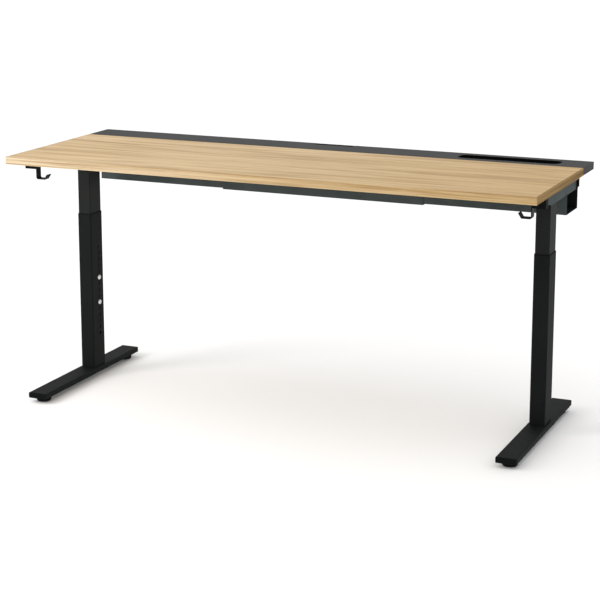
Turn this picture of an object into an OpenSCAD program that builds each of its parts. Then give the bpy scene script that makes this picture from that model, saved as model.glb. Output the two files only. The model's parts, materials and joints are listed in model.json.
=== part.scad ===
// Height adjustable desk: veneered top with a hinged rear lid over a telescopic cable tray,
// on two T-legs whose inner tubes are set to height by bolts in a row of holes.
// X runs along the desk, +Y to its back, +Z up. The origin is on the floor under the middle of the top.

/* [Desk] */
// Overall length of the top
desk_w = 1600; // [1560:10:1640]
// Overall depth of the top, rear lid included
desk_d = 600; // [590:1:620]
// Height of the top surface at the middle setting
desk_h = 750; // [740:1:760]
// Thickness of the board and of the rear lid
top_t = 22; // [22:1:26]

/* [Board] */
// Depth of the metal lid, with the gap in front of it
lid_zone_d = 119.5; // [110:0.5:125]
// Gap between the board and the lid
lid_gap = 2; // [1.5:0.5:3]
// Thickness of the edge bands
band_t = 2; // [1:0.5:3]
// Wood screw radius
wood_screw_r = 2.5; // [2:0.25:3]

/* [Legs] */
// Distance from the end of the top to the middle of a column
leg_inset = 70; // [66:1:74]
// Where a column's middle stands, along the depth
column_y = 55; // [45:1:60]
// Outer tube, size across X
outer_w = 46; // [44:1:50]
// Outer tube, size across Y
outer_d = 70; // [66:1:76]
// Wall of both tubes
tube_wall = 1.5; // [1.5:0.5:2]
// Gap all round between the tubes
tube_gap = 0.5; // [0.4:0.1:1]
// Top of the outer tube above the floor
outer_top = 524; // [500:1:540]
// Bottom end of the inner tube above the floor, at the middle setting
inner_bottom = 146; // [146:1:160]
// Corner radius of the outer tube
tube_r = 4; // [3.5:0.5:6]

/* [Height holes] */
// Number of holes in each outer tube
hole_count = 15; // [11:1:15]
// Distance between neighbouring holes
hole_pitch = 20; // [20:1:22]
// Height of the lowest hole
hole_low = 138; // [130:1:140]
// Radius of each hole
hole_r = 4.5; // [4.25:0.25:5]
// Where the row of holes runs, along the depth
hole_y = 62; // [55:1:64]
// Which holes hold the two bolts, counted from the lowest
bolt_holes = [5, 9];

/* [Feet] */
// Width of the foot beam
foot_w = 60; // [56:1:64]
// Height of the foot beam
foot_h = 17; // [17:1:22]
// Front end of the foot
foot_front = -280; // [-290:1:-270]
// Rear end of the foot
foot_back = 292; // [280:1:298]
// Wall of the foot beam
foot_wall = 2.5; // [2:0.5:3]
// Underside of the beam above the floor
foot_z = 15; // [15:1:18]
// Distance of the front leveller from the middle of the top
leveller_front_y = -243; // [-250:1:-235]
// Distance of the rear leveller from the middle of the top
leveller_rear_y = 255; // [245:1:260]
// Radius of a leveller's pad
pad_r = 22; // [18:1:24]

/* [Arms] */
// Front end of a support arm
arm_front = -225; // [-240:1:-210]
// Height of the arm where it meets the column, and behind it
arm_h = 60; // [56:1:64]
// Height of the arm's front end
arm_tip_h = 12; // [12:1:16]
// Wall of the arm
arm_wall = 2; // [2:0.5:2.5]

/* [Cable tray] */
// Front face of the tray
tray_front = 177; // [170:1:180]
// Rear face of the tray
tray_back = 297; // [290:0.5:297]
// Underside of the tray sections above the floor
tray_bottom = 611.5; // [600:0.5:630]
// Half the length of the middle sleeve
sleeve_half = 326.5; // [300:0.5:350]
// Sheet thickness of the tray
tray_wall = 1.5; // [1.5:0.5:2]

/* [Rear lid] */
// Sheet thickness of the lid
lid_wall = 1.5; // [1.5:0.5:2]
// Length of the cable slot
slot_w = 307; // [260:1:320]
// Depth of the cable slot
slot_d = 59; // [48:1:60]
// Middle of the cable slot, along the desk
slot_x = 566; // [500:1:600]
// Width of the notch in the rear edge
notch_w = 125; // [100:1:140]
// Depth of the notch in the rear edge
notch_d = 24; // [20:1:26]

/* [Hooks] */
// Width of the hook strip
hook_w = 22; // [18:1:24]
// Thickness of the hook strip
hook_t = 3; // [2.5:0.5:3.5]
// Middle of the hooks, along the depth
hook_y = -189; // [-200:1:-180]

/* [Hidden] */
$fn = 48;

column_x = desk_w / 2 - leg_inset;
inner_w = outer_w - 2 * (tube_wall + tube_gap);
inner_d = outer_d - 2 * (tube_wall + tube_gap);
bore_w = outer_w - 2 * tube_wall;
bore_d = outer_d - 2 * tube_wall;
foot_top = foot_z + foot_h;
board_z = desk_h - top_t;
board_back = desk_d / 2 - lid_zone_d;
collar_h = 3;
column_plate_h = 8;
foot_cap_t = 3;
foot_bolt_x = 12;
foot_bolt_y = 22;
running_gap = 0.05;
body_gap = 0.3;

arm_half = inner_w / 2 + arm_wall;
arm_z = board_z - arm_h;
arm_back = 292;
arm_notch_y = 272;
arm_notch_h = 8;
arm_screw_ys = [-195, -85, 130];
wood_screw_len = 16;
wood_head_r = 5;
wood_head_h = 3.5;

tray_half = column_x + 26;
tray_top = arm_z;
tray_lip = 16;
tray_section_in = 240;
sleeve_side_gap = 0.5;
strip_t = 1.5;
sleeve_bottom_t = 2;
sleeve_screw_x = 285;
sleeve_screw_ys = [205, 269];
tray_screw_ys = [186, 286];
tray_screw_r = 3;

lid_front = board_back + lid_gap;
lid_back = desk_d / 2;
lid_z = board_z + 0.6;
slot_y = 241.5;
slot_r = 22;
trim_t = 2.5;
trim_flange = 3;
trim_flange_h = 1.5;
notch_wall_h = 14;
hinge_y = 288;
hinge_z = desk_h - 12;
hinge_pin_r = 3;
hinge_eye_r = 7;
lug_t = 6;
lug_room = 4;
ear_t = 3;
ear_offset = 9.5;
bracket_t = 2.5;
bracket_screw_x = 12;
bracket_screw_y = 278;
rest_xs = [-450, 0, 450];
rest_w = 40;
rest_t = 3;
rest_screw_y = 158;
bumper_r = 5;

hook_plate_x = desk_w / 2 - 43;
hook_mount_w = 37;
hook_drop = 58;
hook_bend_r = 5;
hook_mount_h = 28;
hook_screw_xs = [hook_plate_x + 9, hook_plate_x + 31];

// A rectangle with round corners, centred on the origin.
module rounded_rect(w, d, r) {
    square([w, d - 2 * r], center = true);
    square([w - 2 * r, d], center = true);
    for (x = [-1, 1], y = [-1, 1]) {
        translate([x * (w / 2 - r), y * (d / 2 - r)]) circle(r);
    }
}

// Extrudes an outline drawn in Y and Z from x0 to x1.
module along_x(x0, x1) {
    translate([x0, 0, 0]) rotate([90, 0, 90]) linear_extrude(x1 - x0) children();
}

// Extrudes an outline drawn in X and Z from y0 to y1.
module along_y(y0, y1) {
    translate([0, y1, 0]) rotate([90, 0, 0]) linear_extrude(y1 - y0) children();
}

// A round bar along X, from x0 to x1, through the point y, z.
module bar_x(x0, x1, y, z, r) {
    translate([x0, y, z]) rotate([0, 90, 0]) cylinder(h = x1 - x0, r = r);
}

// Everything that comes in a pair is drawn for the left end, and mirrored for the right one.
module on_side(side) {
    if (side == "left") {
        children();
    } else {
        mirror([1, 0, 0]) children();
    }
}

module rect_tube(w, d, r, wall, h) {
    difference() {
        linear_extrude(h) rounded_rect(w, d, r);
        translate([0, 0, -1]) linear_extrude(h + 2) rounded_rect(w - 2 * wall, d - 2 * wall, r - wall);
    }
}

// The places of the four screws that hold a column on its foot.
module at_foot_bolts() {
    for (x = [-1, 1], y = [-1, 1]) {
        translate([-column_x + x * foot_bolt_x, column_y + y * foot_bolt_y, 0]) children();
    }
}

module at_levellers() {
    for (y = [leveller_front_y, leveller_rear_y]) {
        translate([-column_x, y, 0]) children();
    }
}

module foot_section(inset) {
    translate([-column_x, foot_z + foot_h / 2]) {
        rounded_rect(foot_w - 2 * inset, foot_h - 2 * inset, inset > 0 ? 1.5 : 3);
    }
}

// Foot beam: a flat tube, with holes for the levellers and the column's screws.
module foot_beam() {
    color("#1d1f21") difference() {
        along_y(foot_front + foot_cap_t, foot_back - foot_cap_t) foot_section(0);
        along_y(foot_front, foot_back) foot_section(foot_wall);
        at_levellers() translate([0, 0, foot_z - 1]) cylinder(h = foot_wall + 2, r = 4.5);
        at_foot_bolts() {
            translate([0, 0, foot_z - 1]) cylinder(h = foot_wall + 2, r = 8);
            translate([0, 0, foot_top - foot_wall - 1]) cylinder(h = foot_wall + 2, r = 4.25);
        }
    }
}

module foot_end_caps() {
    color("#141516") {
        along_y(foot_front, foot_front + foot_cap_t) foot_section(0);
        along_y(foot_front + foot_cap_t, foot_front + 4 * foot_cap_t) foot_section(foot_wall + 0.1);
        along_y(foot_back - foot_cap_t, foot_back) foot_section(0);
        along_y(foot_back - 4 * foot_cap_t, foot_back - foot_cap_t) foot_section(foot_wall + 0.1);
    }
}

module leveller_nuts() {
    color("silver") at_levellers() difference() {
        translate([0, 0, foot_z + foot_wall]) cylinder(h = 8.5, r = 8, $fn = 6);
        translate([0, 0, foot_z]) cylinder(h = foot_h, r = 4 + running_gap);
    }
}

// Levelling foot: a wide pad, a neck and a threaded stem.
module leveller(y) {
    neck_z = foot_z - body_gap;
    color("#161718") translate([-column_x, y, 0]) {
        rotate_extrude() polygon([
            [0, 0], [pad_r - 5.5, 0], [pad_r - 3, 0.8], [pad_r - 1, 2.6], [pad_r, 5],
            [pad_r, neck_z - 6.5], [pad_r - 2, neck_z - 4.5], [9, neck_z - 3], [9, neck_z],
            [4, neck_z], [4, foot_top - 3.5], [0, foot_top - 3.5]
        ]);
    }
}

module column_plate() {
    color("#2a2c2e") difference() {
        translate([-column_x, column_y, foot_top]) {
            linear_extrude(column_plate_h) rounded_rect(bore_w, bore_d, tube_r - tube_wall);
        }
        at_foot_bolts() translate([0, 0, foot_top - 1]) cylinder(h = column_plate_h + 2, r = 4);
    }
}

module foot_screws() {
    head_z = foot_top - foot_wall;
    color("silver") at_foot_bolts() {
        difference() {
            translate([0, 0, head_z - 5]) cylinder(h = 5, r = 6.5);
            translate([0, 0, head_z - 6]) cylinder(h = 4, r = 3.4, $fn = 6);
        }
        translate([0, 0, head_z]) cylinder(h = foot_wall + column_plate_h, r = 4);
    }
}

// Outer tube of a column, with the row of height holes in the side that faces the knees.
module outer_tube() {
    color("#222426") difference() {
        translate([-column_x, column_y, foot_top]) {
            rect_tube(outer_w, outer_d, tube_r, tube_wall, outer_top - foot_top);
        }
        for (i = [0 : hole_count - 1]) {
            bar_x(-column_x, -column_x + outer_w, hole_y, hole_low + i * hole_pitch, hole_r);
        }
    }
}

module mouth_collar() {
    color("#0e0f10") translate([-column_x, column_y, outer_top]) difference() {
        linear_extrude(collar_h) rounded_rect(outer_w, outer_d, tube_r);
        translate([0, 0, -1]) linear_extrude(collar_h + 2) {
            rounded_rect(inner_w + 2 * body_gap, inner_d + 2 * body_gap, tube_r - tube_wall);
        }
    }
}

// Button-headed bolts with a hexagon socket. Their short ends stop in the wall of the outer tube.
module lock_bolts() {
    head_h = 4.6;
    head_r = 7.8;
    face_x = -column_x + outer_w / 2;
    color("#d5d7d9") for (i = bolt_holes) {
        translate([face_x, hole_y, hole_low + i * hole_pitch]) rotate([0, 90, 0]) {
            difference() {
                rotate_extrude() polygon([
                    [0, 0], [head_r, 0], [head_r, 0.9], [7.1, 2.3], [5.8, 3.6], [4.2, head_h], [0, head_h]
                ]);
                translate([0, 0, head_h - 2.6]) cylinder(h = 3, r = 2.9, $fn = 6);
            }
            translate([0, 0, -tube_wall + 0.2]) cylinder(h = tube_wall, r = 4);
        }
    }
}

// Inner tube: slides in the outer one, and is welded into the support arm at its top.
module inner_tube() {
    color("#2b2d2f") difference() {
        translate([-column_x, column_y, inner_bottom]) {
            rect_tube(inner_w, inner_d, tube_r - 1, tube_wall, board_z - arm_wall - inner_bottom);
        }
        for (i = bolt_holes) {
            bar_x(-column_x, -column_x + inner_w, hole_y, hole_low + i * hole_pitch, 5.5);
        }
    }
}

module glide_shoe() {
    plug_w = inner_w - 2 * tube_wall;
    plug_d = inner_d - 2 * tube_wall;
    color("#d9dadb") translate([-column_x, column_y, inner_bottom - 4]) difference() {
        union() {
            linear_extrude(4) rounded_rect(inner_w + 0.4, inner_d + 0.4, tube_r - 1);
            linear_extrude(24) rounded_rect(plug_w, plug_d, 1.5);
        }
        translate([0, 0, -1]) linear_extrude(26) rounded_rect(plug_w - 5, plug_d - 5, 2);
    }
}

// Threaded inserts in the wall of the inner tube, level with the two bolts.
module lock_inserts() {
    wall_x = -column_x + inner_w / 2;
    color("silver") for (i = bolt_holes) {
        z = hole_low + i * hole_pitch;
        difference() {
            bar_x(wall_x - 13, wall_x, hole_y, z, 5.5);
            bar_x(wall_x - 14, wall_x + 1, hole_y, z, 4);
        }
    }
}

// Height of the arm's underside where it tapers towards the front.
function arm_under(y) = arm_z + (arm_h - arm_tip_h) * (column_y - inner_d / 2 - y)
    / (column_y - inner_d / 2 - arm_front);

// Side view of the arm: inset 0 is the outside, and a positive inset the cavity.
module arm_profile(inset) {
    knee_y = column_y - inner_d / 2;
    back_y = arm_back + (inset > 0 ? 1 : 0);
    front_y = arm_front + inset;
    polygon([
        [front_y, board_z - inset],
        [front_y, arm_under(front_y) + inset],
        [knee_y, arm_z + inset],
        [back_y, arm_z + inset],
        [back_y, board_z - arm_notch_h - inset],
        [arm_notch_y - inset, board_z - arm_notch_h - inset],
        [arm_notch_y - inset, board_z - inset]
    ]);
}

// Support arm: a tapered box under the board, open at its rear end.
module support_arm() {
    color("#34383c") difference() {
        along_x(-column_x - arm_half, -column_x + arm_half) arm_profile(0);
        along_x(-column_x - arm_half + arm_wall, -column_x + arm_half - arm_wall) arm_profile(arm_wall);
        translate([-column_x, column_y, arm_z - 1]) {
            linear_extrude(arm_wall + 2) rounded_rect(inner_w, inner_d, tube_r - 1);
        }
        for (y = arm_screw_ys) {
            translate([-column_x, y, board_z - arm_wall - 1]) cylinder(h = arm_wall + 2, r = 3);
            translate([-column_x, y, arm_under(min(y, 0)) - 40]) cylinder(h = 50, r = 6.5);
        }
        for (y = tray_screw_ys) {
            translate([-column_x, y, arm_z - 1]) cylinder(h = arm_wall + 2, r = tray_screw_r);
        }
        for (x = [-1, 1]) {
            translate([-column_x + x * bracket_screw_x, bracket_screw_y, board_z - arm_notch_h - 3]) {
                cylinder(h = 4, r = wood_screw_r);
            }
        }
    }
}

// Plug that closes the rear end of the arm, with a plate a little wider than the arm. Below, the plate steps in to
// the end of the tray.
module arm_end_cap() {
    out = 7;
    plate_t = 6;
    plug_t = 2;
    step_z = arm_z + 7;
    low_z = arm_z + 0.5;
    low_half = tray_half - column_x + 0.5;
    inner_x = -column_x + arm_half + 2;
    top_z = board_z - arm_notch_h;
    color("#101112") {
        translate([-column_x - arm_half - out, arm_back, step_z]) {
            cube([inner_x + column_x + arm_half + out, plate_t, top_z - step_z]);
        }
        translate([-column_x - low_half, arm_back, low_z]) {
            cube([inner_x + column_x + low_half, plate_t, step_z + 1 - low_z]);
        }
        translate([-column_x - arm_half + arm_wall, arm_back - plug_t, step_z]) {
            cube([2 * (arm_half - arm_wall), plug_t, top_z - arm_wall - step_z]);
        }
    }
}

// A wood screw that is driven up into the board from the height z.
module wood_screw(z) {
    translate([0, 0, z - wood_head_h]) difference() {
        cylinder(h = wood_head_h, r = wood_head_r);
        translate([0, 0, -1]) cylinder(h = 2.5, r = 2.2, $fn = 6);
    }
    translate([0, 0, z]) cylinder(h = wood_screw_len, r = wood_screw_r);
}

module tabletop_screws() {
    color("silver") {
        for (side = ["left", "right"]) {
            on_side(side) for (y = arm_screw_ys) {
                translate([-column_x, y, 0]) wood_screw(board_z - arm_wall);
            }
        }
        for (x = rest_xs) {
            translate([x, rest_screw_y, 0]) wood_screw(board_z - rest_t);
        }
    }
}

module hook_screws() {
    color("silver") for (side = ["left", "right"]) {
        on_side(side) for (x = hook_screw_xs) {
            translate([-x, hook_y, 0]) wood_screw(board_z - 5);
        }
    }
}

module pilot_hole() {
    translate([0, 0, board_z - 1]) cylinder(h = wood_screw_len, r = wood_screw_r);
}

module tabletop_board() {
    color("#d8b98c") difference() {
        translate([band_t - desk_w / 2, band_t - desk_d / 2, board_z]) {
            cube([desk_w - 2 * band_t, board_back + desk_d / 2 - band_t, top_t]);
        }
        for (side = ["left", "right"]) {
            on_side(side) {
                for (y = arm_screw_ys) {
                    translate([-column_x, y, 0]) pilot_hole();
                }
                for (x = hook_screw_xs) {
                    translate([-x, hook_y, 0]) pilot_hole();
                }
            }
        }
        for (x = rest_xs) {
            translate([x, rest_screw_y, 0]) pilot_hole();
        }
    }
}

module front_edge_band() {
    color("#e6c690") translate([-desk_w / 2, -desk_d / 2, board_z]) cube([desk_w, band_t, top_t]);
}

module side_edge_band() {
    color("#b98f5c") translate([-desk_w / 2, band_t - desk_d / 2, board_z]) {
        cube([band_t, board_back + desk_d / 2 - band_t, top_t]);
    }
}

// Side view of a tray sheet: a U with its lips turned in, grown by side, under and over.
module tray_profile(side, under, over, wall, floor_t) {
    y0 = tray_front - side;
    y1 = tray_back + side;
    z0 = tray_bottom - under;
    z1 = tray_top + over;
    difference() {
        translate([y0, z0]) square([y1 - y0, z1 - z0]);
        translate([y0 + wall, z0 + floor_t]) square([y1 - y0 - 2 * wall, z1 - z0 - floor_t - wall]);
        translate([y0 + tray_lip, z1 - 2 * wall]) square([y1 - y0 - 2 * tray_lip, 3 * wall]);
    }
}

// One end section of the tray: it hangs under the arm, and its inner end lies in the sleeve.
module tray_section() {
    color("#3a4046") difference() {
        along_x(-tray_half, -tray_section_in) tray_profile(0, 0, 0, tray_wall, tray_wall);
        for (y = tray_screw_ys) {
            translate([-column_x, y, tray_top - 4]) cylinder(h = 6, r = tray_screw_r);
        }
        for (y = sleeve_screw_ys) {
            translate([-sleeve_screw_x, y, tray_bottom - 1]) cylinder(h = 4, r = tray_screw_r);
        }
    }
}

module tray_sleeve() {
    side = tray_wall + sleeve_side_gap;
    under = sleeve_bottom_t + strip_t;
    color("#32373c") difference() {
        along_x(-sleeve_half, sleeve_half) tray_profile(side, under, side, tray_wall, sleeve_bottom_t);
        for (x = [-1, 1], y = sleeve_screw_ys) {
            translate([x * sleeve_screw_x, y, tray_bottom - under - 1]) cylinder(h = 4, r = tray_screw_r);
        }
    }
}

module sleeve_glide_strips() {
    strip_w = 16;
    color("#0f1011") for (x = [-1, 1], y = sleeve_screw_ys) {
        difference() {
            translate([x * sleeve_screw_x - 36, y - strip_w / 2, tray_bottom - strip_t]) {
                cube([72, strip_w, strip_t]);
            }
            translate([x * sleeve_screw_x, y, tray_bottom - 3]) cylinder(h = 6, r = tray_screw_r);
        }
    }
}

// Machine screws with low round heads: the head lies on z, and the shank runs to z + reach.
module machine_screw(z, reach) {
    head_h = 3;
    turn = reach > 0 ? 0 : 180;
    translate([0, 0, z]) rotate([turn, 0, 0]) {
        difference() {
            translate([0, 0, -head_h]) cylinder(h = head_h, r = 5.5);
            translate([0, 0, -head_h - 1]) cylinder(h = 2.6, r = 2.3, $fn = 6);
        }
        cylinder(h = abs(reach), r = tray_screw_r - running_gap);
    }
}

module sleeve_screws() {
    color("silver") for (x = [-1, 1], y = sleeve_screw_ys) {
        translate([x * sleeve_screw_x, y, 0]) {
            machine_screw(tray_bottom + tray_wall, -(tray_wall + strip_t + sleeve_bottom_t));
        }
    }
}

module tray_screws() {
    color("silver") for (side = ["left", "right"]) {
        on_side(side) for (y = tray_screw_ys) {
            translate([-column_x, y, 0]) machine_screw(tray_top - tray_wall, tray_wall + arm_wall + 4);
        }
    }
}

// Hinge bracket: a foot on the arm's lowered rear end, and a lug that holds the pin.
module hinge_bracket() {
    foot_z0 = board_z - arm_notch_h;
    color("#26292c") difference() {
        union() {
            translate([-column_x - 18, arm_notch_y + 1, foot_z0]) {
                cube([36, arm_back - arm_notch_y - 2, bracket_t]);
            }
            along_x(-column_x - lug_t / 2, -column_x + lug_t / 2) {
                translate([hinge_y, hinge_z]) circle(hinge_eye_r);
                translate([hinge_y - hinge_eye_r, foot_z0]) square([2 * hinge_eye_r, hinge_z - foot_z0]);
            }
        }
        bar_x(-column_x - lug_t, -column_x + lug_t, hinge_y, hinge_z, hinge_pin_r);
        for (x = [-1, 1]) {
            translate([-column_x + x * bracket_screw_x, bracket_screw_y, foot_z0 - 1]) {
                cylinder(h = bracket_t + 2, r = wood_screw_r);
            }
        }
    }
}

module hinge_bracket_screws() {
    z = board_z - arm_notch_h + bracket_t;
    color("silver") for (side = ["left", "right"], x = [-1, 1]) {
        on_side(side) translate([-column_x + x * bracket_screw_x, bracket_screw_y, 0]) {
            difference() {
                translate([0, 0, z]) cylinder(h = 1.8, r = 4);
                translate([0, 0, z + 0.8]) cylinder(h = 2, r = 1.6, $fn = 6);
            }
            translate([0, 0, z - bracket_t - arm_wall - 3]) {
                cylinder(h = bracket_t + arm_wall + 3, r = wood_screw_r);
            }
        }
    }
}

module lid_hinge_pins() {
    color("silver") for (side = ["left", "right"]) {
        on_side(side) bar_x(-column_x - 15, -column_x + 15, hinge_y, hinge_z, hinge_pin_r);
    }
}

// Ears under the lid, two for each pin, which they turn on.
module lid_hinge_ears() {
    under_z = desk_h - lid_wall;
    color("#26292c") for (side = ["left", "right"], x = [-ear_offset, ear_offset]) {
        on_side(side) difference() {
            along_x(-column_x + x - ear_t / 2, -column_x + x + ear_t / 2) {
                translate([hinge_y, hinge_z]) circle(hinge_eye_r);
                translate([hinge_y - hinge_eye_r, hinge_z]) square([2 * hinge_eye_r, under_z - hinge_z]);
            }
            bar_x(-column_x - 20, -column_x + 20, hinge_y, hinge_z, hinge_pin_r + running_gap);
        }
    }
}

// Rests: stepped tabs under the board that catch the lid's front edge.
module lid_rests() {
    tab_y = 138;
    color("#26292c") for (x = rest_xs) {
        difference() {
            union() {
                translate([x - rest_w / 2, tab_y, board_z - rest_t]) cube([rest_w, board_back - tab_y, rest_t]);
                translate([x - rest_w / 2, board_back - 6, board_z - 2 * rest_t]) cube([rest_w, 28, rest_t]);
            }
            translate([x, rest_screw_y, board_z - rest_t - 1]) cylinder(h = rest_t + 2, r = wood_screw_r);
        }
    }
}

module lid_bumpers() {
    low_z = board_z - rest_t;
    color("#0b0b0c") for (x = rest_xs) {
        translate([x, lid_front + bumper_r, low_z]) cylinder(h = lid_z - body_gap - low_z, r = bumper_r);
    }
}

// Rear lid: a folded sheet with turned-down edges, a cable slot and a notch in its rear edge.
module rear_lid() {
    lid_len = lid_back - lid_front;
    inside_h = desk_h - lid_wall - lid_z;
    cut_w = lug_t + 2 * lug_room;
    color("#54585c") difference() {
        union() {
            difference() {
                translate([-desk_w / 2, lid_front, lid_z]) cube([desk_w, lid_len, desk_h - lid_z]);
                translate([lid_wall - desk_w / 2, lid_front + lid_wall, lid_z - 1]) {
                    cube([desk_w - 2 * lid_wall, lid_len - 2 * lid_wall, inside_h + 1]);
                }
            }
            translate([-notch_w / 2 - lid_wall, lid_back - notch_d - lid_wall, desk_h - notch_wall_h]) {
                cube([notch_w + 2 * lid_wall, notch_d, notch_wall_h - 1]);
            }
        }
        translate([slot_x, slot_y, desk_h - 5]) linear_extrude(10) rounded_rect(slot_w, slot_d, slot_r);
        translate([-notch_w / 2, lid_back - notch_d, lid_z - 1]) cube([notch_w, notch_d + 1, top_t + 2]);
        for (side = [-1, 1]) {
            translate([side * column_x - cut_w / 2, lid_back - 3, lid_z - 1]) {
                cube([cut_w, 4, inside_h + 0.4]);
            }
        }
    }
}

// Outline of the slot trim, larger than the slot by grow all round.
module slot_outline(grow) {
    rounded_rect(slot_w + 2 * grow, slot_d + 2 * grow, slot_r + grow);
}

// Plastic lining of the slot: it is pressed up from below, to its flange.
module slot_trim() {
    flange_z = desk_h - lid_wall - trim_flange_h;
    color("#060606") translate([slot_x, slot_y, 0]) difference() {
        union() {
            translate([0, 0, desk_h - 9]) linear_extrude(8.8) slot_outline(-running_gap);
            translate([0, 0, flange_z]) linear_extrude(trim_flange_h) slot_outline(trim_flange);
        }
        translate([0, 0, desk_h - 10]) linear_extrude(11) slot_outline(-trim_t);
    }
}

// Plastic lining of the notch, with a rear wall that carries on the lid's rear edge.
module notch_trim() {
    low_z = desk_h - notch_wall_h - trim_flange_h;
    top_z = desk_h - 0.6;
    half = notch_w / 2 - running_gap;
    front_y = lid_back - notch_d + running_gap;
    color("#060606") difference() {
        union() {
            translate([-half, front_y, low_z]) cube([2 * half, lid_back - front_y, top_z - low_z]);
            translate([-half - trim_flange, front_y - trim_flange, low_z]) {
                cube([2 * (half + trim_flange), lid_back - front_y, trim_flange_h]);
            }
        }
        translate([trim_t - half, front_y + trim_t, low_z - 1]) {
            cube([2 * (half - trim_t), lid_back - front_y - 2 * trim_t, notch_wall_h + 4]);
        }
    }
}

module hook_mount() {
    color("#17181a") difference() {
        translate([-hook_plate_x - hook_t - hook_mount_w, hook_y - hook_w / 2, board_z - hook_mount_h]) {
            cube([hook_mount_w, hook_w, hook_mount_h]);
        }
        for (x = hook_screw_xs) {
            translate([-x, hook_y, board_z - 6]) cylinder(h = 7, r = wood_screw_r);
            translate([-x, hook_y, board_z - hook_mount_h - 1]) cylinder(h = hook_mount_h - 4, r = 5.2);
        }
    }
}

// A strip of thickness t through the given points, with round corners and a round tip.
module bent_strip(points, t) {
    for (i = [0 : len(points) - 2]) {
        run = points[i + 1] - points[i];
        translate(points[i]) rotate(atan2(run[1], run[0])) {
            translate([0, -t / 2]) square([norm(run), t]);
            translate([norm(run), 0]) circle(t / 2);
        }
    }
}

// Bag hook: a strip bent to a J that opens towards the middle of the desk.
module hook() {
    x = -hook_plate_x - hook_t / 2;
    low_z = board_z - hook_drop + hook_t / 2;
    r = hook_bend_r;
    bend = [for (a = [180 : 22.5 : 270]) [x + r + r * cos(a), low_z + r + r * sin(a)]];
    color("#111213") along_y(hook_y - hook_w / 2, hook_y + hook_w / 2) {
        bent_strip(concat([[x, board_z - 4]], bend, [[x + 27, low_z], [x + 35, low_z + 12.5]]), hook_t);
    }
}

on_side("left") foot_beam();  // left_foot_beam
on_side("right") foot_beam();  // right_foot_beam
on_side("left") foot_end_caps();  // left_foot_end_caps
on_side("right") foot_end_caps();  // right_foot_end_caps
on_side("left") leveller_nuts();  // left_leveller_nuts
on_side("right") leveller_nuts();  // right_leveller_nuts
on_side("left") leveller(leveller_front_y);  // left_front_leveller
on_side("left") leveller(leveller_rear_y);  // left_rear_leveller
on_side("right") leveller(leveller_front_y);  // right_front_leveller
on_side("right") leveller(leveller_rear_y);  // right_rear_leveller
on_side("left") column_plate();  // left_column_plate
on_side("right") column_plate();  // right_column_plate
on_side("left") foot_screws();  // left_foot_screws
on_side("right") foot_screws();  // right_foot_screws
on_side("left") outer_tube();  // left_outer_tube
on_side("right") outer_tube();  // right_outer_tube
on_side("left") mouth_collar();  // left_mouth_collar
on_side("right") mouth_collar();  // right_mouth_collar
on_side("left") lock_bolts();  // left_lock_bolts
on_side("right") lock_bolts();  // right_lock_bolts
on_side("left") inner_tube();  // left_inner_tube
on_side("right") inner_tube();  // right_inner_tube
on_side("left") glide_shoe();  // left_glide_shoe
on_side("right") glide_shoe();  // right_glide_shoe
on_side("left") lock_inserts();  // left_lock_inserts
on_side("right") lock_inserts();  // right_lock_inserts
on_side("left") support_arm();  // left_support_arm
on_side("right") support_arm();  // right_support_arm
on_side("left") arm_end_cap();  // left_arm_end_cap
on_side("right") arm_end_cap();  // right_arm_end_cap
tabletop_board();
front_edge_band();
on_side("left") side_edge_band();  // left_edge_band
on_side("right") side_edge_band();  // right_edge_band
tabletop_screws();
on_side("left") tray_section();  // tray_left_section
on_side("right") tray_section();  // tray_right_section
tray_sleeve();
sleeve_glide_strips();
sleeve_screws();
tray_screws();
on_side("left") hinge_bracket();  // left_hinge_bracket
on_side("right") hinge_bracket();  // right_hinge_bracket
hinge_bracket_screws();
lid_hinge_pins();
lid_rests();
lid_bumpers();
rear_lid();
lid_hinge_ears();
slot_trim();
notch_trim();
on_side("left") hook_mount();  // left_hook_mount
on_side("right") hook_mount();  // right_hook_mount
on_side("left") hook();  // left_hook
on_side("right") hook();  // right_hook
hook_screws();
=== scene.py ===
"""Looks of the height adjustable desk: materials, edge finish, light, floor and camera."""

import json
import math

import bpy
from mathutils import Euler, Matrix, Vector


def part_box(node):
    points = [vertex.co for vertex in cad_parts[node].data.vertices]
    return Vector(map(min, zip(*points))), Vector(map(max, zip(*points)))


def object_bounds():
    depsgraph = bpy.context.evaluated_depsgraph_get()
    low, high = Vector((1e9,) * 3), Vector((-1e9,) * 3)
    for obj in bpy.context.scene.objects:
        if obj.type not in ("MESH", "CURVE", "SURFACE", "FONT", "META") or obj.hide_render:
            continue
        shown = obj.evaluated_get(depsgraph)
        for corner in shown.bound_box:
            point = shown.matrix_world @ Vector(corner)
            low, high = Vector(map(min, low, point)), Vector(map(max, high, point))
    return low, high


MM = 0.001
X_AXIS, Y_AXIS = 0, 1

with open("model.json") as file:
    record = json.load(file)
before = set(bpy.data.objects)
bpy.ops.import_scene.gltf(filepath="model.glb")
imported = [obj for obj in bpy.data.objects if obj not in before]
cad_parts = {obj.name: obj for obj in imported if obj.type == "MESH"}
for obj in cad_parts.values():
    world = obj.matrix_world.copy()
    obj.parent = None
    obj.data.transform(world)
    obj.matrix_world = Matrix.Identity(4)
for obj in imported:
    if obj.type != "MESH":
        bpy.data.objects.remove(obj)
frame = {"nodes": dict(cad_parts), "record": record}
cad_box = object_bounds()
nodes = frame["nodes"]


# ---------------------------------------------------------------- camera, floor and light

CAMERA_PLACE = Vector((1.951, -4.484, 1.565))
CAMERA_TURN_DEG = 23.42
CAMERA_TILT_DEG = 11.77
CAMERA_LENS = 102.5
CAMERA_SHIFT_Y = -0.12
CAMERA_REACH = 60


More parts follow.
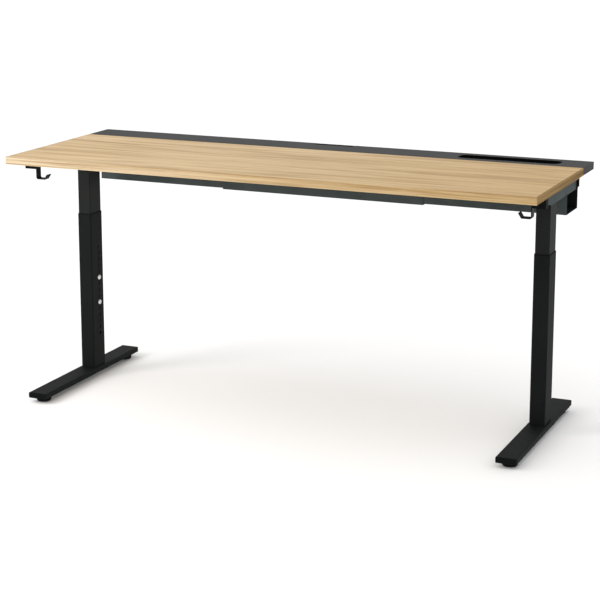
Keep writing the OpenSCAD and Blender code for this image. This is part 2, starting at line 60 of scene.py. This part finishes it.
def make_camera():
    data = bpy.data.cameras.new("camera")
    data.lens = CAMERA_LENS
    data.shift_y = CAMERA_SHIFT_Y
    data.clip_end = CAMERA_REACH
    camera = bpy.data.objects.new("camera", data)
    camera.location = CAMERA_PLACE
    camera.rotation_euler = Euler((math.radians(90 - CAMERA_TILT_DEG), 0, math.radians(CAMERA_TURN_DEG)))
    bpy.context.scene.collection.objects.link(camera)
    bpy.context.scene.camera = camera


WORLD_STRENGTH = 1.0
SUN_FROM = (-0.30, -0.35, 0.90)
SUN_STRENGTH = 0.5
SUN_SPREAD_DEG = 60
SOFTBOX_PLACE = (-2.1, -1.75, 1.35)
SOFTBOX_AIM = (-0.3, 0, 0.55)
SOFTBOX_SIZE = (0.9, 1.3)
SOFTBOX_POWER = 30
SOFTBOX_COLOUR = (1.0, 0.97, 0.93)
FLOOR_REACH = 30
FLOOR_GREY = 0.93


def add_lamp(name, kind):
    data = bpy.data.lights.new(name, kind)
    lamp = bpy.data.objects.new(name, data)
    bpy.context.scene.collection.objects.link(lamp)
    return lamp, data


def make_light():
    world = bpy.data.worlds.new("studio")
    world.use_nodes = True
    background = world.node_tree.nodes["Background"]
    background.inputs["Color"].default_value = (1, 1, 1, 1)
    background.inputs["Strength"].default_value = WORLD_STRENGTH
    bpy.context.scene.world = world
    lamp, sun = add_lamp("overhead", "SUN")
    sun.energy = SUN_STRENGTH
    sun.angle = math.radians(SUN_SPREAD_DEG)
    lamp.rotation_euler = Vector(SUN_FROM).to_track_quat("Z", "Y").to_euler()
    lamp, softbox = add_lamp("softbox", "AREA")
    softbox.shape = "RECTANGLE"
    softbox.size, softbox.size_y = SOFTBOX_SIZE
    softbox.energy = SOFTBOX_POWER
    softbox.color = SOFTBOX_COLOUR
    lamp.location = SOFTBOX_PLACE
    lamp.rotation_euler = (Vector(SOFTBOX_AIM) - Vector(SOFTBOX_PLACE)).to_track_quat("-Z", "Y").to_euler()
    bpy.context.scene.view_settings.view_transform = "Standard"


def make_floor():
    mesh = bpy.data.meshes.new("floor")
    corners = [(x * FLOOR_REACH, y * FLOOR_REACH, 0) for x, y in ((-1, -1), (1, -1), (1, 1), (-1, 1))]
    mesh.from_pydata(corners, [], [(0, 1, 2, 3)])
    floor = bpy.data.objects.new("floor", mesh)
    bpy.context.scene.collection.objects.link(floor)
    floor.data.materials.append(floor_material())


# ---------------------------------------------------------------- node helpers

def new_material(name):
    material = bpy.data.materials.new(name)
    material.use_nodes = True
    tree = material.node_tree
    return material, tree, tree.nodes["Principled BSDF"]


def add(tree, kind, settings=None, **inputs):
    """A shader node with its settings and inputs set. An input is a value, or an output socket to link."""
    node = tree.nodes.new(kind)
    for key, value in (settings or {}).items():
        setattr(node, key, value)
    for key, value in inputs.items():
        socket = node.inputs[int(key[1:])] if key[0] == "i" and key[1:].isdigit() else node.inputs[key]
        if isinstance(value, bpy.types.NodeSocket):
            tree.links.new(value, socket)
        else:
            socket.default_value = value
    return node


def place(tree):
    """Object coordinates, which are the desk's own frame in metres."""
    return add(tree, "ShaderNodeTexCoord").outputs["Object"]


def axes(tree):
    """The X, Y and Z of the object coordinates, one output each."""
    return add(tree, "ShaderNodeSeparateXYZ", Vector=place(tree)).outputs


def stretched(tree, scale, shift=(0, 0, 0)):
    """Object coordinates, scaled along each axis."""
    mapping = add(tree, "ShaderNodeMapping", Vector=place(tree), Scale=scale, Location=shift)
    return mapping.outputs["Vector"]


def noise(tree, vector, scale=1.0, detail=3.0, rough=0.5, distortion=0.0):
    node = add(tree, "ShaderNodeTexNoise", Vector=vector, Scale=scale, Detail=detail, Roughness=rough,
               Distortion=distortion)
    return node.outputs["Fac"]


def ramp(tree, value, *stops):
    """A colour ramp through (position, colour) stops."""
    node = add(tree, "ShaderNodeValToRGB", Fac=value)
    elements = node.color_ramp.elements
    while len(elements) < len(stops):
        elements.new(0.5)
    for element, (position, colour) in zip(elements, stops):
        element.position = position
        element.color = (*colour, 1) if len(colour) == 3 else colour
    return node.outputs["Color"]


def spread(tree, value, low, high, out_low=0.0, out_high=1.0):
    """Maps low..high to out_low..out_high, clamped."""
    node = add(tree, "ShaderNodeMapRange", {"clamp": True},
               i0=value, i1=low, i2=high, i3=out_low, i4=out_high)
    return node.outputs["Result"]


def times(tree, a, b):
    return add(tree, "ShaderNodeMath", {"operation": "MULTIPLY"}, i0=a, i1=b).outputs[0]


def scaled(colour, share):
    return [channel * share for channel in colour]


def mix(tree, factor, a, b, blend="MIX"):
    node = add(tree, "ShaderNodeMix", {"data_type": "RGBA", "blend_type": blend})
    for socket, value in ((node.inputs[0], factor), (node.inputs[6], a), (node.inputs[7], b)):
        if isinstance(value, bpy.types.NodeSocket):
            tree.links.new(value, socket)
        elif isinstance(value, (int, float)):
            socket.default_value = value
        else:
            socket.default_value = (*value, 1)
    return node.outputs[2]


def bump(tree, shader, height, strength, distance, below=None):
    node = add(tree, "ShaderNodeBump", Height=height, Strength=strength, Distance=distance)
    if below:
        tree.links.new(below, node.inputs["Normal"])
    tree.links.new(node.outputs["Normal"], shader.inputs["Normal"])
    return node.outputs["Normal"]


# ---------------------------------------------------------------- materials

NEUTRAL = (1, 1, 1)


def floor_material():
    material, _, shader = new_material("pale_floor")
    shader.inputs["Base Color"].default_value = (FLOOR_GREY, FLOOR_GREY, FLOOR_GREY, 1)
    shader.inputs["Roughness"].default_value = 0.75
    shader.inputs["Specular IOR Level"].default_value = 0.2
    return material


def oak(name, along, light, middle, dark, left_painted_light=NEUTRAL, right_painted_shade=NEUTRAL, figure=1.0, specular=0.2):
    """Lacquered oak. along is the grain's axis, and figure makes the growth bands finer.

    The colour is made of layers that are all drawn out along the grain: broad growth bands, narrower dark
    streaks, lines, fine fibres, short rays and open pores. The colour is then multiplied by a ramp along
    the
    desk that is painted light: lighter towards the left end (painted highlight) and darker and browner
    towards the right end (painted shade).
    """
    material, tree, shader = new_material(name)

    def grain(scale_along, scale_across, shift=(0, 0, 0)):
        scale = [scale_across * figure] * 3
        scale[along] = scale_along
        return stretched(tree, scale, shift)

    drift = noise(tree, grain(0.7, 3.5), detail=2.0)
    bands = noise(tree, grain(1.5, 27.0, (3, 1, 2)), detail=5.0, rough=0.58, distortion=0.9)
    streaks = noise(tree, grain(2.6, 62.0, (1, 4, 2)), detail=5.0, rough=0.60, distortion=0.5)
    lines = noise(tree, grain(4.0, 170.0, (6, 2, 5)), detail=4.0, rough=0.62, distortion=0.3)
    fibres = noise(tree, grain(9.0, 620.0), detail=3.0, rough=0.6)
    pores = noise(tree, grain(48.0, 1500.0, (5, 2, 7)), detail=1.0)
    rays = noise(tree, grain(30.0, 150.0, (8, 3, 1)), detail=2.0)

    colour = ramp(tree, spread(tree, bands, 0.34, 0.66),
                  (0.0, dark), (0.30, middle), (0.62, light), (1.0, scaled(light, 1.06)))
    for layer, low, high, share, tone in (
        (drift, 0.35, 0.70, 0.30, middle),
        (streaks, 0.53, 0.66, 0.75, dark),
        (lines, 0.54, 0.68, 0.50, scaled(dark, 0.80)),
        (fibres, 0.40, 0.75, 0.30, scaled(middle, 0.80)),
        (rays, 0.62, 0.72, 0.22, scaled(light, 1.12)),
        (pores, 0.66, 0.74, 0.45, scaled(dark, 0.45)),
    ):
        colour = mix(tree, spread(tree, layer, low, high, 0.0, share), colour, tone)
    # Painted light: a ramp along X makes the veneer lighter at the left end and darker at the right end.
    left_end, right_end = cad_box[0][0], cad_box[1][0]
    length = spread(tree, axes(tree)["X"], left_end, right_end)
    painted_light_ramp = ramp(tree, length, (0.0, left_painted_light), (0.5, NEUTRAL), (1.0, right_painted_shade))
    tree.links.new(mix(tree, 1.0, colour, painted_light_ramp, "MULTIPLY"), shader.inputs["Base Color"])
    tree.links.new(spread(tree, lines, 0.3, 0.8, 0.52, 0.62), shader.inputs["Roughness"])
    shader.inputs["Specular IOR Level"].default_value = specular
    lines_bump = bump(tree, shader, lines, 0.12, 0.25 * MM)
    bump(tree, shader, pores, -0.12, 0.15 * MM, lines_bump)
    return material


TRAY_HALF_WALL = 0.75 * MM
TRAY_BLEND = 0.2 * MM


def painted_tray_shade_mask(tree):
    """Painted shade mask: one between the tray's walls and above its bottom, zero on its outer skin."""
    low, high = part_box("tray_left_section")
    coordinates = axes(tree)

    def past(axis, start):
        return spread(tree, coordinates[axis], start, start + TRAY_BLEND)

    back = high.y - TRAY_HALF_WALL
    before_back = spread(tree, coordinates["Y"], back, back + TRAY_BLEND, 1.0, 0.0)
    between_walls = times(tree, past("Y", low.y + TRAY_HALF_WALL), before_back)
    return times(tree, between_walls, past("Z", low.z + TRAY_HALF_WALL))


def powder(name, colour, roughness, specular, painted_inside_shade=None):
    """Powder coat: fine orange peel, faint cloudiness and a little variation in gloss.

    The inside colour is painted shade: a near-black tone laid on the tray's inside, where shade falls.
    """
    material, tree, shader = new_material(name)
    peel = noise(tree, place(tree), 1400.0, detail=2.0, rough=0.55)
    clouds = noise(tree, place(tree), 9.0)
    coat = ramp(tree, clouds, (0.35, scaled(colour, 0.88)), (0.65, scaled(colour, 1.12)))
    # Painted shade: the tray's inside, between its walls and above its bottom, takes the near-black inside
    # colour.
    if painted_inside_shade:
        coat = mix(tree, painted_tray_shade_mask(tree), coat, painted_inside_shade)
    tree.links.new(coat, shader.inputs["Base Color"])
    gloss = spread(tree, peel, 0.3, 0.7, roughness - 0.04, roughness + 0.04)
    tree.links.new(gloss, shader.inputs["Roughness"])
    shader.inputs["Specular IOR Level"].default_value = specular
    bump(tree, shader, peel, 0.35, 0.05 * MM)
    return material


def plastic(name, colour, roughness, specular=0.4):
    """Moulded plastic or rubber with a fine spark-eroded skin."""
    material, tree, shader = new_material(name)
    skin = noise(tree, place(tree), 2600.0, detail=2.0)
    tone = ramp(tree, skin, (0.3, scaled(colour, 0.85)), (0.7, scaled(colour, 1.15)))
    tree.links.new(tone, shader.inputs["Base Color"])
    gloss = spread(tree, skin, 0.3, 0.7, roughness - 0.05, roughness + 0.05)
    tree.links.new(gloss, shader.inputs["Roughness"])
    shader.inputs["Specular IOR Level"].default_value = specular
    bump(tree, shader, skin, 0.25, 0.03 * MM)
    return material


def plated(name, colour, roughness):
    """Zinc-plated steel: slightly cloudy, with fine brushing."""
    material, tree, shader = new_material(name)
    brushing = noise(tree, stretched(tree, (90, 2200, 2200)), detail=3.0, rough=0.6)
    cloud = noise(tree, place(tree), 160.0, detail=2.0)
    tone = ramp(tree, cloud, (0.3, scaled(colour, 0.86)), (0.7, colour))
    tree.links.new(tone, shader.inputs["Base Color"])
    gloss = spread(tree, brushing, 0.3, 0.7, roughness - 0.06, roughness + 0.08)
    tree.links.new(gloss, shader.inputs["Roughness"])
    shader.inputs["Metallic"].default_value = 1.0
    bump(tree, shader, brushing, 0.1, 0.02 * MM)
    return material


ANTHRACITE = (0.052, 0.065, 0.066)
BAND_FIGURE = 3.2


def make_materials():
    """The record's slots and a few looks of single nodes. Colours are linear."""
    return {
        # The top and the front band get painted light along the desk: a highlight tint at the left end, a
        # shade tint at the right.
        "oak_top": oak(
            "oak_veneer", X_AXIS,
            light=(0.575, 0.418, 0.230), middle=(0.496, 0.346, 0.173), dark=(0.360, 0.229, 0.100),
            left_painted_light=(1.04, 1.04, 1.06), right_painted_shade=(0.93, 0.88, 0.77)),
        "oak_front": oak(
            "oak_front_band", X_AXIS,
            light=(0.60, 0.445, 0.260), middle=(0.46, 0.315, 0.155), dark=(0.30, 0.175, 0.070),
            left_painted_light=(1.10, 1.22, 1.50), right_painted_shade=(0.92, 0.88, 0.74), figure=BAND_FIGURE),
        # Painted shade: the side bands' oak is given much darker colours than the top's, standing in for
        # sides that face away from the light.
        "oak_side": oak(
            "oak_side_band_painted_shade", Y_AXIS,
            light=(0.31, 0.196, 0.068), middle=(0.215, 0.126, 0.038), dark=(0.120, 0.062, 0.017),
            figure=BAND_FIGURE, specular=0.05),
        "lid_metal": powder("dark_grey_powder_coat", (0.021, 0.0225, 0.0218), 0.6, 0.145),
        "slot_black": plastic("slot_plastic", (0.0015, 0.0015, 0.0015), 0.8, 0.03),
        "bare_steel": plated("zinc_steel", (0.62, 0.63, 0.64), 0.38),
        "bolt_steel": plated("bright_steel", (0.82, 0.83, 0.84), 0.26),
        "leg_black": powder("black_powder_coat", (0.0048, 0.0060, 0.0058), 0.68, 0.095),
        "inner_tube": powder("inner_tube_powder_coat", (0.0085, 0.0100, 0.0098), 0.62, 0.12),
        "frame_grey": powder("anthracite_powder_coat", ANTHRACITE, 0.65, 0.10),
        # The tray sections get painted shade: their inside is darkened to near black.
        "tray_grey": powder("tray_powder_coat_painted_shade", ANTHRACITE, 0.65, 0.10, painted_inside_shade=(0.006, 0.007, 0.007)),
        "black_plastic": plastic("black_plastic", (0.0035, 0.0045, 0.0045), 0.7, 0.06),
        "hook_black": powder("hook_black", (0.0025, 0.0027, 0.003), 0.5, 0.10),
        "glide_plastic": plastic("white_acetal", (0.72, 0.73, 0.73), 0.45),
        "pad_rubber": plastic("black_rubber", (0.006, 0.006, 0.0065), 0.8, 0.12),
    }


OWN_LOOKS = {
    "front_edge_band": "oak_front", "left_edge_band": "oak_side", "right_edge_band": "oak_side",
    "left_inner_tube": "inner_tube", "right_inner_tube": "inner_tube",
    "tray_left_section": "tray_grey", "tray_right_section": "tray_grey",
}


def dress(materials):
    """Puts each node's material on it, by its own look or else by the record's slot."""
    for part in frame["record"]["subparts"]:
        mesh = nodes[part["node"]].data
        mesh.materials.clear()
        mesh.materials.append(materials[OWN_LOOKS.get(part["node"], part["material_slot"])])


# ---------------------------------------------------------------- edge finish

# In millimetres.
EDGE_RADII = {
    "tabletop_board": 0.25, "front_edge_band": 0.5, "left_edge_band": 0.5, "right_edge_band": 0.5,
    "rear_lid": 0.6,
}
PLAIN_EDGE_RADIUS = 0.4
EDGE_ANGLE_DEG = 32
WELD_GAP = 0.005


def soften(name, obj):
    """Breaks a node's sharp edges with a small round, so that they catch the light."""
    weld = obj.modifiers.new("weld", "WELD")
    weld.merge_threshold = WELD_GAP * MM
    bevel = obj.modifiers.new("edge", "BEVEL")
    bevel.width = EDGE_RADII.get(name, PLAIN_EDGE_RADIUS) * MM
    bevel.segments = 2
    bevel.limit_method = "ANGLE"
    bevel.angle_limit = math.radians(EDGE_ANGLE_DEG)
    for face in obj.data.polygons:
        face.use_smooth = True
    normals = obj.modifiers.new("normals", "WEIGHTED_NORMAL")
    normals.keep_sharp = True


make_camera()
make_light()
make_floor()
dress(make_materials())
for node_name, node_object in nodes.items():
    soften(node_name, node_object)
